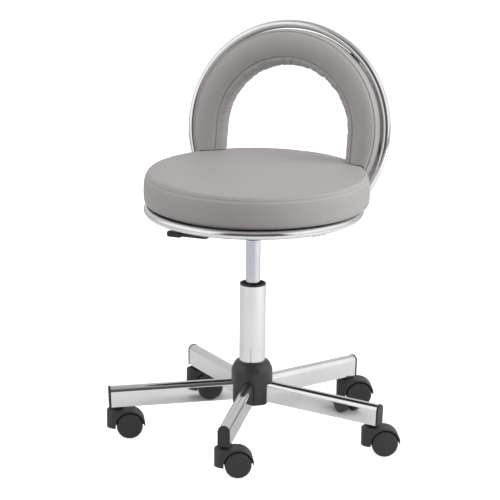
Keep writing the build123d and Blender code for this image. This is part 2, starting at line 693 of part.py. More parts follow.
with BuildPart() as caster_hood:
    with BuildSketch(Plane.XZ):
        with BuildLine():
            Line((-HOOD_HALF_WIDTH, HOOD_BOTTOM), (-HOOD_HALF_WIDTH, HOOD_TOP))
            Line((-HOOD_HALF_WIDTH, HOOD_TOP), (TRAIL, HOOD_TOP))
            RadiusArc((TRAIL, HOOD_TOP), (TRAIL + fender_radius, WHEEL_RADIUS), fender_radius)
            Line((TRAIL + fender_radius, WHEEL_RADIUS), (-2, WHEEL_RADIUS))
            Line((-2, WHEEL_RADIUS), (-5, HOOD_BOTTOM))
            Line((-5, HOOD_BOTTOM), (-HOOD_HALF_WIDTH, HOOD_BOTTOM))
        make_face()
    extrude(amount=HOOD_HALF_WIDTH, both=True)
    # rounded front, seen from above, with soft upper edges
    with BuildSketch(Plane.XY):
        Circle(HOOD_HALF_WIDTH)
        with Locations(((TRAIL + fender_radius) / 2, 0)):
            Rectangle(TRAIL + fender_radius, 2 * HOOD_HALF_WIDTH)
    extrude(amount=HOOD_TOP + 1, mode=Mode.INTERSECT)
    hood_top_face = caster_hood.faces().sort_by(Axis.Z)[-1]
    fillet(hood_top_face.edges().filter_by(Axis.Y, reverse=True), HOOD_EDGE)
    # the tail's rounded corners, cut after the edges because they run out on the fender
    with BuildSketch(Plane.XY):
        with Locations((TRAIL + fender_radius - HOOD_TAIL_REACH / 2, 0)):
            RectangleRounded(HOOD_TAIL_REACH, 2 * HOOD_HALF_WIDTH, HOOD_TAIL_CORNER)
    extrude(amount=HOOD_TOP + 1, mode=Mode.INTERSECT)
    # the axle's boss, then a pocket for each wheel beside the middle web
    with BuildSketch(Plane.XZ):
        with Locations((TRAIL, WHEEL_RADIUS)):
            Circle(AXLE_RADIUS + 4.5)
    extrude(amount=WEB_HALF_WIDTH, both=True)
    for side in (-1, 1):
        with BuildSketch(Plane.XZ.offset(side * WEB_HALF_WIDTH)):
            with Locations((TRAIL, WHEEL_RADIUS)):
                Circle(pocket_radius)
        extrude(amount=side * HOOD_HALF_WIDTH, mode=Mode.SUBTRACT)
    with BuildSketch(Plane.XZ):
        with Locations((TRAIL, WHEEL_RADIUS)):
            Circle(AXLE_RADIUS + 0.01)
    extrude(amount=HOOD_HALF_WIDTH, both=True, mode=Mode.SUBTRACT)
    # the stem's bore and the shallow recess round it
    with BuildSketch(Plane.XY.offset(STEM_FOOT - 0.5)):
        Circle(STEM_FOOT_RADIUS + RUNNING_FIT)
    extrude(amount=HOOD_TOP, mode=Mode.SUBTRACT)
    with BuildSketch(Plane.XY.offset(HOOD_TOP - 1.6)):
        Circle(13)
    extrude(amount=2, mode=Mode.SUBTRACT)
    # the collar that stands in the recess
    with BuildSketch(Plane.XY.offset(HOOD_TOP - 1.6)):
        Circle(9)
        Circle(STEM_FOOT_RADIUS + RUNNING_FIT, mode=Mode.SUBTRACT)
    extrude(amount=1.6)

with BuildPart() as caster_stem:
    with BuildSketch(Plane.XY.offset(STEM_FOOT)):
        Circle(STEM_FOOT_RADIUS)
    extrude(amount=HOOD_TOP + 0.3 - STEM_FOOT)
    with BuildSketch(Plane.XY.offset(HOOD_TOP + 0.3)):
        Circle(STEM_RADIUS)
    extrude(amount=36)
    chamfer(caster_stem.edges().sort_by(Axis.Z)[-1], 1)

with BuildPart() as caster_axle:
    with BuildSketch(Plane.XZ):
        with Locations((TRAIL, WHEEL_RADIUS)):
            Circle(AXLE_RADIUS)
    extrude(amount=WHEEL_OUTER_FACE - 2.5, both=True)


def wheel_profile(side):
    """Half section of one wheel, with its axle along Y and a recess moulded into its inner face."""
    rim = WHEEL_RADIUS
    inner = side * WHEEL_INNER_FACE
    outer = side * WHEEL_OUTER_FACE
    recess = side * (WHEEL_OUTER_FACE - 3.5)
    bore = AXLE_RADIUS + RUNNING_FIT
    bore_end = side * (WHEEL_OUTER_FACE - 2.0)
    bulge = side * (WHEEL_OUTER_FACE - 4.5)
    with BuildLine() as outline:
        Polyline((rim - 0.8, inner), (21, inner), (21, recess), (9, recess), (9, inner), (bore, inner),
                 (bore, bore_end), (0, bore_end), (0, outer), (rim - 5, outer))
        RadiusArc((rim - 5, outer), (rim, bulge), -side * -4.8)
        Polyline((rim, bulge), (rim, inner + side * 0.8), (rim - 0.8, inner))
    make_face(outline.edges())


wheels = {}
for name, side in (("right", -1), ("left", 1)):
    with BuildPart() as wheel:
        with BuildSketch(Plane(origin=(TRAIL, 0, WHEEL_RADIUS), x_dir=(0, 0, 1), z_dir=(1, 0, 0))):
            wheel_profile(-side)
        revolve(axis=Axis((TRAIL, 0, WHEEL_RADIUS), (0, 1, 0)))
    wheels[name] = wheel.part

for number, angle in enumerate(ARM_ANGLES, start=1):
    spoke = Location((0, 0, 0), (0, 0, angle))
    write_copy(arm.part, f"arm_{number}", spoke)
    x = CASTER_CIRCLE * cos(radians(angle))
    y = CASTER_CIRCLE * sin(radians(angle))
    stand = Location((x, y, 0), (0, 0, CASTER_HEADING))
    write_copy(caster_stem.part, f"caster_stem_{number}", stand)
    write_copy(caster_hood.part, f"caster_hood_{number}", stand)
    write_copy(caster_axle.part, f"caster_axle_{number}", stand)
    for name, wheel_part in wheels.items():
        write_copy(wheel_part, f"caster_{number}_wheel_{name}", stand)
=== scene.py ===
import math

import bpy
import numpy as np
from mathutils import Matrix, Vector, noise
from mathutils.bvhtree import BVHTree


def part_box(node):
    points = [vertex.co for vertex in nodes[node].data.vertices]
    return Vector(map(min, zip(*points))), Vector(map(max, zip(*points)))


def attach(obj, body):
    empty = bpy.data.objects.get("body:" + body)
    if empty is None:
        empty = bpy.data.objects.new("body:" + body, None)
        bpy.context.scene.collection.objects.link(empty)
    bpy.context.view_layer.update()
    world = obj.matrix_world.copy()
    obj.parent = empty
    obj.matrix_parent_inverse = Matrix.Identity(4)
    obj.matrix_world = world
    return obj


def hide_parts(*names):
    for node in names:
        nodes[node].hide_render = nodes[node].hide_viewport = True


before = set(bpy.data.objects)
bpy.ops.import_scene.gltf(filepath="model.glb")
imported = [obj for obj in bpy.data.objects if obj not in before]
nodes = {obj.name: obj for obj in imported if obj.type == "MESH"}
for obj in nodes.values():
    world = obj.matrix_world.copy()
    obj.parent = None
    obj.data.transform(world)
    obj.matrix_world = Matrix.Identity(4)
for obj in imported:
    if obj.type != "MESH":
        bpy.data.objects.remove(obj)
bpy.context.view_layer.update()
MM = 0.001

# ---- node materials -----------------------------------------------------------------------------


def calculate(tree, operation, first, second=0.0):
    node = tree.nodes.new("ShaderNodeMath")
    node.operation = operation
    for socket, value in zip(node.inputs, (first, second)):
        if isinstance(value, bpy.types.NodeSocket):
            tree.links.new(value, socket)
        else:
            socket.default_value = value
    return node.outputs[0]


class Look:
    """One node material: a Principled shader fed by textures in the object's own coordinates."""

    def __init__(self, name, **sockets):
        self.material = bpy.data.materials.new(name)
        self.material.use_nodes = True
        tree = self.material.node_tree
        self.tree = tree
        self.shader = tree.nodes["Principled BSDF"]
        for socket, value in sockets.items():
            self.shader.inputs[socket.replace("_", " ")].default_value = value
        self.place = self.add("ShaderNodeTexCoord").outputs["Object"]

    def add(self, kind, settings=None, inputs=None):
        node = self.tree.nodes.new(kind)
        for key, value in (settings or {}).items():
            setattr(node, key, value)
        for key, value in (inputs or {}).items():
            if isinstance(value, bpy.types.NodeSocket):
                self.tree.links.new(value, node.inputs[key])
            else:
                node.inputs[key].default_value = value
        return node

    def stretched(self, x, y, z):
        scaled = self.add("ShaderNodeMapping", None, {"Vector": self.place, "Scale": (x, y, z)})
        return scaled.outputs[0]

    def noise(self, scale, detail=2.0, vector=None, distortion=0.0):
        inputs = {"Vector": vector or self.place, "Scale": scale, "Detail": detail, "Distortion": distortion}
        return self.add("ShaderNodeTexNoise", None, inputs).outputs[0]

    def cells(self, scale, feature="SMOOTH_F1", vector=None):
        inputs = {"Vector": vector or self.place, "Scale": scale}
        return self.add("ShaderNodeTexVoronoi", {"feature": feature}, inputs).outputs["Distance"]

    def math(self, operation, first, second=0.0):
        return calculate(self.tree, operation, first, second)

    def range(self, value, low, high, to_low, to_high):
        keys = ("Value", "From Min", "From Max", "To Min", "To Max")
        inputs = dict(zip(keys, (value, low, high, to_low, to_high)))
        return self.add("ShaderNodeMapRange", None, inputs).outputs[0]

    def ramp(self, value, *stops):
        node = self.add("ShaderNodeValToRGB", None, {"Fac": value})
        elements = node.color_ramp.elements
        while len(elements) < len(stops):
            elements.new(0.5)
        for element, (position, colour) in zip(elements, stops):
            element.position = position
            element.color = (*colour, 1.0)
        return node.outputs[0]

    def bump(self, height, strength, distance, normal=None):
        inputs = {"Height": height, "Strength": strength, "Distance": distance}
        if normal is not None:
            inputs["Normal"] = normal
        return self.add("ShaderNodeBump", None, inputs).outputs[0]

    def rounded(self, radius):
        return self.add("ShaderNodeBevel", {"samples": 4}, {"Radius": radius}).outputs[0]

    def connect(self, **sockets):
        for socket, value in sockets.items():
            self.tree.links.new(value, self.shader.inputs[socket.replace("_", " ")])
        return self.material


def shade(colour, factor):
    return tuple(min(1.0, channel * factor) for channel in colour)


def leatherette_look():
    base = (0.316, 0.298, 0.293)
    look = Look("leatherette", Specular_IOR_Level=0.42, Sheen_Weight=0.08, Sheen_Roughness=0.5)
    grain = look.cells(820.0)
    creases = look.noise(210.0, 4.0, distortion=0.6)
    patches = look.noise(7.0, 3.0)
    pores = look.range(grain, 0.05, 0.75, 0.0, 1.0)
    height = look.math("ADD", look.math("MULTIPLY", pores, 0.7), look.math("MULTIPLY", creases, 0.5))
    tone = look.math("ADD", look.math("MULTIPLY", pores, 0.35), look.math("MULTIPLY", patches, 0.65))
    colour = look.ramp(tone, (0.15, shade(base, 0.86)), (0.5, base), (0.9, shade(base, 1.1)))
    roughness = look.range(look.math("ADD", grain, patches), 0.4, 1.4, 0.42, 0.56)
    return look.connect(Base_Color=colour, Roughness=roughness, Normal=look.bump(height, 0.32, 0.00022))


def thread_look():
    base = (0.56, 0.53, 0.51)
    look = Look("sewing_thread", Sheen_Weight=0.2)
    twist = look.noise(2600.0, 2.0)
    colour = look.ramp(twist, (0.3, shade(base, 0.75)), (0.7, base))
    return look.connect(
        Base_Color=colour,
        Roughness=look.range(twist, 0.2, 0.8, 0.5, 0.75),
        Normal=look.bump(twist, 0.5, 0.0002),
    )


def chrome_look():
    look = Look("chrome", Metallic=1.0)
    smudges = look.noise(16.0, 4.0, distortion=0.4)
    hairlines = look.noise(60.0, 3.0, look.stretched(1.0, 1.0, 9.0))
    ripple = look.noise(9.0, 1.0)
    colour = look.ramp(smudges, (0.2, (0.84, 0.84, 0.845)), (0.7, (0.93, 0.93, 0.935)))
    haze = look.math("ADD", look.math("MULTIPLY", smudges, 0.7), look.math("MULTIPLY", hairlines, 0.3))
    return look.connect(
        Base_Color=colour,
        Roughness=look.range(haze, 0.3, 0.75, 0.025, 0.08),
        Normal=look.bump(ripple, 0.12, 0.0012, look.rounded(0.0005)),
    )


def bright_steel_look():
    look = Look("bright_steel", Metallic=1.0)
    drawn = look.noise(420.0, 3.0, look.stretched(1.0, 1.0, 0.04))
    smudges = look.noise(22.0, 3.0)
    colour = look.ramp(drawn, (0.2, (0.62, 0.64, 0.68)), (0.8, (0.78, 0.80, 0.83)))
    return look.connect(
        Base_Color=colour,
        Roughness=look.range(smudges, 0.3, 0.7, 0.14, 0.26),
        Normal=look.bump(drawn, 0.10, 0.0002, look.rounded(0.0004)),
    )


def plastic_look(name, base, rough, grain_scale, grain_depth, edge, specular=0.5):
    """Moulded plastic: fine spark-eroded grain, faint flow marks, and edges that catch the light."""
    look = Look(name, Specular_IOR_Level=specular)
    grain = look.noise(grain_scale, 3.0)
    flow = look.noise(28.0, 3.0, distortion=0.8)
    tone = look.math("ADD", look.math("MULTIPLY", grain, 0.4), look.math("MULTIPLY", flow, 0.6))
    colour = look.ramp(tone, (0.25, shade(base, 0.78)), (0.75, shade(base, 1.18)))
    return look.connect(
        Base_Color=colour,
        Roughness=look.range(flow, 0.3, 0.7, rough - 0.05, rough + 0.07),
        Normal=look.bump(grain, grain_depth, 0.00015, look.rounded(edge)),
    )


def painted_steel_look():
    look = Look("black_steel", Specular_IOR_Level=0.5)
    peel = look.cells(420.0)
    colour = look.ramp(peel, (0.1, (0.022, 0.022, 0.024)), (0.8, (0.038, 0.038, 0.040)))
    return look.connect(
        Base_Color=colour,
        Roughness=look.range(peel, 0.0, 0.8, 0.34, 0.48),
        Normal=look.bump(peel, 0.25, 0.0002, look.rounded(0.0006)),
    )


def plywood_look():
    look = Look("plywood", Specular_IOR_Level=0.3)
    figure = look.noise(30.0, 5.0, look.stretched(1.0, 0.09, 1.0), 1.2)
    fibres = look.noise(520.0, 3.0, look.stretched(1.0, 0.05, 1.0))
    layers = look.noise(620.0, 0.0, look.stretched(0.001, 0.001, 1.0))
    tone = look.math("ADD", look.math("MULTIPLY", figure, 0.5), look.math("MULTIPLY", layers, 0.5))
    dark, middle, pale = (0.36, 0.235, 0.13), (0.52, 0.37, 0.225), (0.64, 0.49, 0.32)
    colour = look.ramp(tone, (0.3, dark), (0.5, middle), (0.75, pale))
    return look.connect(
        Base_Color=colour,
        Roughness=look.range(fibres, 0.2, 0.8, 0.55, 0.8),
        Normal=look.bump(look.math("ADD", fibres, tone), 0.3, 0.0003),
    )


def rubber_look():
    look = Look("rubber", Specular_IOR_Level=0.35)
    bloom = look.noise(90.0, 4.0)
    colour = look.ramp(bloom, (0.3, (0.020, 0.020, 0.020)), (0.8, (0.040, 0.039, 0.038)))
    return look.connect(
        Base_Color=colour,
        Roughness=look.range(bloom, 0.2, 0.8, 0.6, 0.85),
        Normal=look.bump(bloom, 0.2, 0.0002),
    )


def dust_and_shade_cloth_look():
    """Thin black non-woven cloth: pressed fibres with a fine embossed dot. Where it shows in the gap under
    the cushion, its black is painted shade.
    """
    look = Look("dust_and_shade_cloth", Specular_IOR_Level=0.25, Sheen_Weight=0.15)
    fibres = look.noise(1400.0, 4.0, distortion=1.0)
    dots = look.cells(650.0, "F1")
    colour = look.ramp(fibres, (0.3, (0.012, 0.012, 0.013)), (0.75, (0.034, 0.033, 0.034)))
    return look.connect(
        Base_Color=colour,
        Roughness=look.range(dots, 0.1, 0.7, 0.7, 0.9),
        Normal=look.bump(look.math("ADD", fibres, dots), 0.3, 0.0002),
    )


looks = {
    # black cloth for under the seat board; at the board's edge, in the gap under the cushion, it is painted
    # shade
    "dust_and_shade_cloth": dust_and_shade_cloth_look(),
    "chrome": chrome_look(),
    "bright_steel": bright_steel_look(),
    "black_steel": painted_steel_look(),
    "hub_plastic": plastic_look("hub_plastic", (0.038, 0.0355, 0.0362), 0.30, 900.0, 0.10, 0.0010),
    "black_plastic": plastic_look("black_plastic", (0.026, 0.0245, 0.0250), 0.42, 2200.0, 0.30, 0.0008),
    "caster_nylon": plastic_look("caster_nylon", (0.034, 0.0315, 0.0325), 0.46, 1600.0, 0.28, 0.0014),
    "socket_plastic": plastic_look("socket_plastic", (0.022, 0.021, 0.022), 0.5, 1800.0, 0.3, 0.0005),
    "rubber": rubber_look(),
    "plywood": plywood_look(),
    "leatherette": leatherette_look(),
}
thread = thread_look()

NODE_LOOKS = {
    "chrome": ("seat_ring", "backrest_ring", "column_tube", "arm_"),
    "bright_steel": ("pressure_tube", "valve_pin", "lever_pivot", "piston", "bearing", "rod_clip",
                     "caster_stem", "caster_axle", "seat_screws", "backrest_screws"),
    "black_steel": ("seat_plate", "ring_tabs", "backrest_tabs", "backrest_bracket", "lever_rod", "hub_core"),
    "hub_plastic": ("hub_cover",),
    "black_plastic": ("arm_caps", "lever_grip", "guide_bush"),
    "caster_nylon": ("caster_",),
    "socket_plastic": ("stem_sockets",),
    "rubber": ("rubber_bumper",),
    "plywood": ("seat_board", "backrest_board"),
    "leatherette": ("seat_cushion", "backrest_pad"),
}


def look_for(node_name):
    """The look whose longest prefix fits the node's name."""
    fits = []
    for slot, starts in NODE_LOOKS.items():
        fits += [(len(start), slot) for start in starts if node_name.startswith(start)]
    return looks[max(fits)[1]]


for node_name, node in nodes.items():
    node.data.materials.clear()
    node.data.materials.append(look_for(node_name))

# ---- mesh helpers -------------------------------------------------------------------------------


def make_object(name, points, faces, material):
    mesh = bpy.data.meshes.new(name)
    mesh.from_pydata([tuple(point) for point in points], [], faces)
    mesh.materials.append(material)
    mesh.shade_smooth()
    mesh.update()
    piece = bpy.data.objects.new(name, mesh)
    bpy.context.scene.collection.objects.link(piece)
    return piece


def read_points(mesh):
    points = np.zeros(len(mesh.vertices) * 3)
    mesh.vertices.foreach_get("co", points)
    return points.reshape(-1, 3)


def write_points(mesh, points):
    mesh.vertices.foreach_set("co", np.asarray(points, np.float32).ravel())
    mesh.update()


def read_normals(mesh):
    normals = np.zeros(len(mesh.vertices) * 3)
    mesh.vertex_normals.foreach_get("vector", normals)
    return normals.reshape(-1, 3)


def evaluated_mesh(piece):
    graph = bpy.context.evaluated_depsgraph_get()
    return bpy.data.meshes.new_from_object(piece.evaluated_get(graph))


def apply_modifiers(piece):
    mesh = evaluated_mesh(piece)
    piece.modifiers.clear()
    piece.data = mesh
    mesh.shade_smooth()


def subdivide(piece):
    finer = piece.modifiers.new("finer", "SUBSURF")
    finer.levels, finer.render_levels = 1, 1


CLOTH_FRAMES = 20


def inflate(piece, pinned, pressure, cap):
    """Swells a closed skin with Cloth, holds the pinned points, and limits how far any point goes."""
    group = piece.vertex_groups.new(name="pinned")
    group.add([int(i) for i in pinned], 1.0, "REPLACE")
    cloth = piece.modifiers.new("cloth", "CLOTH")
    settings = cloth.settings
    settings.quality = 6
    settings.mass = 0.3
    settings.tension_stiffness = 30
    settings.compression_stiffness = 30
    settings.shear_stiffness = 15
    settings.bending_stiffness = 1.5
    settings.use_pressure = True
    settings.uniform_pressure_force = pressure
    settings.vertex_group_mass = "pinned"
    settings.effector_weights.gravity = 0
    scene = bpy.context.scene
    scene.frame_start, scene.frame_end = 1, CLOTH_FRAMES
    for number in range(1, CLOTH_FRAMES + 1):
        scene.frame_set(number)
    swollen = read_points(evaluated_mesh(piece))
    rest = read_points(piece.data)
    moved = swollen - rest
    length = np.maximum(np.linalg.norm(moved, axis=1), 1e-9)
    share = cap * np.tanh(length / cap) / length
    piece.modifiers.remove(cloth)
    piece.vertex_groups.remove(group)
    scene.frame_set(1)
    write_points(piece.data, rest + moved * share[:, None])


def smooth_noise(points, scale, seed):
    shift = Vector((seed, 2.3 * seed, 0))
    return np.array([noise.noise(Vector(point) * scale + shift) for point in points])


def noise_round(angles, scale, seed):
    return np.array([noise.noise(Vector((math.cos(a) * scale, math.sin(a) * scale, seed))) for a in angles])


def stitches(name, path, normals, pitch, length, radius, sunk):
    """A row of small thread stitches along a path of points with surface normals."""
    path, normals = np.asarray(path), np.asarray(normals)
    steps = np.linalg.norm(np.diff(path, axis=0), axis=1)
    along = np.concatenate([[0], np.cumsum(steps)])
    points, faces = [], []

    def between(values, place):
        return Vector([np.interp(place, along, values[:, k]) for k in range(3)])

    # each stitch is six-sided; a ring is its place along the stitch and its share of the radius
    sides, rings = 6, ((-0.5, 0.35), (-0.38, 0.85), (-0.15, 1.0), (0.15, 1.0), (0.38, 0.85), (0.5, 0.35))
    for centre in np.arange(pitch / 2, along[-1], pitch):
        middle = between(path, centre)
        forward = (between(path, centre + pitch / 4) - middle).normalized()
        up = between(normals, centre).normalized()
        across = up.cross(forward).normalized()
        start = len(points)
        for place, width in rings:
            hump = (0.25 - place * place) * radius * 2.4 - sunk
            for side in range(sides):
                turn = 2 * math.pi * side / sides
                sideways = across * math.cos(turn) * radius * width
                offset = sideways + up * (math.sin(turn) * radius * width + hump)
                points.append(middle + forward * place * length + offset)
        for ring in range(len(rings) - 1):
            for side in range(sides):
                a = start + ring * sides + side
                b = start + ring * sides + (side + 1) % sides
                faces.append((a, b, b + sides, a + sides))
        faces.append(tuple(start + side for side in reversed(range(sides))))
        faces.append(tuple(start + (len(rings) - 1) * sides + side for side in range(sides)))
    return make_object(name, points, faces, thread)


def on_surface(piece_mesh, targets):
    """The nearest points of a mesh to some targets, with the surface's normals there."""
    corners = [vertex.co for vertex in piece_mesh.vertices]
    tree = BVHTree.FromPolygons(corners, [tuple(face.vertices) for face in piece_mesh.polygons])
    found = [tree.find_nearest(Vector(target)) for target in targets]
    return [hit[0] for hit in found], [hit[1] for hit in found]


# ---- seat cushion -------------------------------------------------------------------------------

SEAT_CENTRE = (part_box("seat_cushion")[0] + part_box("seat_cushion")[1]) / 2
SEAT_Y = SEAT_CENTRE.y
GRID = 40
COLUMNS = 4 * GRID


def disc_grid(radius):
    """A square grid wrapped into a disc, so that its rim has evenly spaced points and it has no pole."""
    rows = []
    for j in range(GRID + 1):
        for i in range(GRID + 1):
            a, b = 2 * i / GRID - 1, 2 * j / GRID - 1
            if a == 0 and b == 0:
                rows.append((0.0, 0.0))
            elif abs(a) > abs(b):
                turn = math.pi / 4 * b / a
                rows.append((radius * a * math.cos(turn), radius * a * math.sin(turn)))
            else:
                turn = math.pi / 2 - math.pi / 4 * a / b
                rows.append((radius * b * math.cos(turn), radius * b * math.sin(turn)))
    return rows


def rim_indices():
    """The disc grid's rim, walked once round from angle -45 degrees."""
    low, high = 0, GRID
    walk = [(high, j) for j in range(low, high)]
    walk += [(i, high) for i in range(high, low, -1)]
    walk += [(low, j) for j in range(high, low, -1)]
    walk += [(i, low) for i in range(low, high)]
    return [j * (GRID + 1) + i for i, j in walk]


def build_seat_cover():
    """Top panel, seam, side band and bottom, from the middle of the top to the middle of the bottom."""
    top_in, bottom_in = 168.0, 182.0
    top_level, bottom_level = 511.7, 451.4
    profile = [
        (176, 511.9, "top"), (184, 512.1, "top"), (191, 512.3, "top"), (197, 512.5, "top"),
        (201.5, 512.5, "top"),
        (204.2, 512.2, "pin"), (206.0, 511.2, "pin"), (207.1, 509.9, "pin"), (207.0, 508.8, "pin"),
        (208.3, 507.8, "pin"), (209.5, 506.2, "pin"), (208.6, 504.9, "pin"), (210.4, 503.6, "pin"),
        (211.5, 501.4, "side"), (212.5, 498, "side"), (213.3, 493, "side"), (213.8, 487, "side"),
        (214.1, 481, "side"),
        (214.2, 474, "side"), (214.1, 467.5, "side"), (213.7, 461.5, "side"), (212.6, 457, "side"),
        (210.8, 453.9, "pin"), (207.6, 452.1, "pin"), (203, 451.5, "pin"), (196, bottom_level, "pin"),
        (189, bottom_level, "pin"),
    ]
    points = [(x, y, top_level) for x, y in disc_grid(top_in)]
    kinds = ["top"] * len(points)
    faces = []
    for j in range(GRID):
        for i in range(GRID):
            a = j * (GRID + 1) + i
            faces.append((a, a + 1, a + GRID + 2, a + GRID + 1))
    previous = rim_indices()
    angles = [-math.pi / 4 + 2 * math.pi * column / COLUMNS for column in range(COLUMNS)]
    for radius, height, kind in profile:
        ring = list(range(len(points), len(points) + COLUMNS))
        points += [(radius * math.cos(angle), radius * math.sin(angle), height) for angle in angles]
        kinds += [kind] * COLUMNS
        for column in range(COLUMNS):
            after = (column + 1) % COLUMNS
            faces.append((previous[column], ring[column], ring[after], previous[after]))
        previous = ring
    start = len(points)
    points += [(x, y, bottom_level) for x, y in disc_grid(bottom_in)]
    kinds += ["pin"] * (len(points) - start)
    for j in range(GRID):
        for i in range(GRID):
            a = start + j * (GRID + 1) + i
            faces.append((a + GRID + 1, a + GRID + 2, a + 1, a))
    ring = [start + index for index in rim_indices()]
    for column in range(COLUMNS):
        after = (column + 1) % COLUMNS
        faces.append((previous[column], ring[column], ring[after], previous[after]))
    placed = [(x * MM, y * MM + SEAT_Y, z * MM) for x, y, z in points]
    piece = make_object("seat_cushion_cover", placed, faces, looks["leatherette"])
    inflate(piece, [i for i, kind in enumerate(kinds) if kind == "pin"], 3.2, 2.4 * MM)
    subdivide(piece)
    apply_modifiers(piece)

    # puckers that run in from the seam, and the slow unevenness of foam under a stretched cover
    seam_radius, seam_level, seam_half_width = 0.2085, 0.5055, 0.0035
    lowest_free, pucker_reach, fade = 0.456, 0.009, 0.02
    spots = read_points(piece.data)
    normals = read_normals(piece.data)
    radius = np.hypot(spots[:, 0], spots[:, 1] - SEAT_Y)
    around = np.arctan2(spots[:, 1] - SEAT_Y, spots[:, 0])
    from_seam = np.hypot(radius - seam_radius, spots[:, 2] - seam_level)
    pucker = noise_round(around, 16, 0.7)
    fine = noise_round(around, 42, 4.1)
    near = np.exp(-((from_seam - pucker_reach) / pucker_reach) ** 2)
    slow = smooth_noise(spots, 11.0, 5.0)
    free = (spots[:, 2] > lowest_free) & (from_seam > seam_half_width)
    lift = (0.35 * pucker + 0.45 * fine) * near * MM + 0.55 * slow * MM * np.clip(from_seam / fade, 0, 1)
    write_points(piece.data, spots + normals * (lift * free)[:, None])
    subdivide(piece)
    return piece


seat_cover = build_seat_cover()
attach(seat_cover, "seat")
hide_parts("seat_cushion")


def seat_ring_path(radius, height):
    turns = np.linspace(0, 2 * math.pi, 721)
    return [(radius * math.cos(t) * MM, radius * math.sin(t) * MM + SEAT_Y, height * MM) for t in turns]


SEAT_STITCH_ROWS = ((206.9, 509.4), (211.3, 501.9))
seat_skin = evaluated_mesh(seat_cover)
for row, (radius, height) in enumerate(SEAT_STITCH_ROWS, start=1):
    spots, normals = on_surface(seat_skin, seat_ring_path(radius, height))
    row_piece = stitches(f"seat_stitches_{row}", spots, normals, 4.6 * MM, 3.4 * MM, 0.42 * MM, 0.25 * MM)
    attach(row_piece, "seat")


def build_dust_and_shade_cover():
    """The black cloth stapled over the board: down its edge and across its underside, a little slack. Its
    black down the board's edge is painted shade for the gap between the cushion and the seat ring.
    """
    under, edge_radius, pleat_reach, droop = 435.6, 183.0, 22.0, 1.2
    rim = [(188.45, 449.8), (188.5, 445.0), (188.5, 440.0), (188.1, 437.0),
           (186.6, 435.9), (edge_radius, under)]
    profile = rim + [(float(radius), under) for radius in np.linspace(178.0, 40.0, 24)]
    sides = 240
    points, faces = [], []
    for row, (radius, height) in enumerate(profile):
        for side in range(sides):
            turn = 2 * math.pi * side / sides
            spot = Vector((radius * math.cos(turn), radius * math.sin(turn), 0))
            slack = 0.0
            if row >= len(rim):
                pleat = noise.noise(Vector((math.cos(turn) * 14, math.sin(turn) * 14, 3.0)))
                near_edge = math.exp(-(edge_radius - radius) / pleat_reach)
                slack = 0.45 * pleat * near_edge + 0.3 * noise.noise(spot / 28.0)
            points.append((spot.x * MM, spot.y * MM, (height - abs(slack) * droop) * MM))
    for row in range(len(profile) - 1):
        for side in range(sides):
            a, b = row * sides + side, row * sides + (side + 1) % sides
            faces.append((a, a + sides, b + sides, b))
    piece = make_object("seat_dust_and_shade_cover", points, faces, looks["dust_and_shade_cloth"])
    thickness = piece.modifiers.new("thickness", "SOLIDIFY")
    thickness.thickness, thickness.offset = 0.35 * MM, 0.0
    return piece


# a black cloth under the board, whose edge in the gap under the cushion is painted shade
dust_and_shade_cover = build_dust_and_shade_cover()
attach(dust_and_shade_cover, "seat")

# ---- backrest pad -------------------------------------------------------------------------------

RING_Y, RING_Z, TILT = 177.6, 564.8, math.radians(10.95)
OUTER, ARCH, DROP, LEG = 189.6, 126.0, 4.0, 104.0


def back_point(x, up, out):
    """A point of the backrest's own plane: sideways, up the back and forward of it, in millimetres."""
    y = RING_Y + up * math.sin(TILT) - out * math.cos(TILT)
    z = RING_Z + up * math.cos(TILT) + out * math.sin(TILT)
    return Vector((x, y, z)) * MM


def station(distance):
    """Inner and outer edge of the horseshoe, a distance along its arch from the middle of the top."""
    quarter = ARCH * math.pi / 2
    side = -1 if distance < 0 else 1
    run = abs(distance)
    if run <= quarter:
        turn = math.pi / 2 - run / ARCH
        inner = (side * ARCH * math.cos(turn), ARCH * math.sin(turn) - DROP)
        outer = (side * OUTER * math.cos(turn), OUTER * math.sin(turn))
    else:
        below = run - quarter
        inner = (side * ARCH, -DROP - below)
        outer = (side * math.sqrt(OUTER**2 - below**2), -below)
    return Vector(inner), Vector(outer)


def pad_section(width):
    """The pad's section: across from the inner edge, forward of the ring's plane, and what holds it."""
    seam_in, seam_out = 13.5, width - 5.4
    rows = [
        (0.0, -3.0, "band"), (0.0, 3.5, "band"), (0.0, 9.5, "band"), (0.6, 14.5, "band"), (2.2, 18.6, "band"),
        (4.8, 20.9, "band"), (8.2, 22.7, "band"), (11.0, 24.0, "band"),
        (12.5, 24.4, "pin"), (seam_in, 21.9, "pin"), (14.6, 25.0, "pin"),
    ]
    for share, height in ((0.05, 26.1), (0.12, 28.0), (0.22, 30.1), (0.34, 31.7), (0.46, 32.5), (0.58, 32.6),
                          (0.70, 32.2), (0.81, 31.2), (0.90, 29.8), (0.96, 28.4)):
        rows.append((seam_in + (seam_out - seam_in) * share, height, "front"))
    rows += [
        (seam_out - 1.0, 27.4, "pin"), (seam_out, 24.3, "pin"), (seam_out + 1.1, 26.6, "pin"),
        (width - 2.6, 25.4, "wall"), (width - 1.1, 22.4, "wall"), (width - 0.3, 17.0, "wall"),
        (width, 9.0, "wall"), (width, 3.0, "wall"), (width, -3.0, "pin"),
        (width, -7.6, "pin"), (width - 0.9, -9.0, "pin"), (width - 5.0, -9.2, "pin"),
        (width * 0.62, -9.2, "pin"), (width * 0.38, -9.2, "pin"), (9.0, -9.2, "pin"),
        (2.6, -8.8, "pin"), (0.7, -6.8, "pin"),
    ]
    return rows


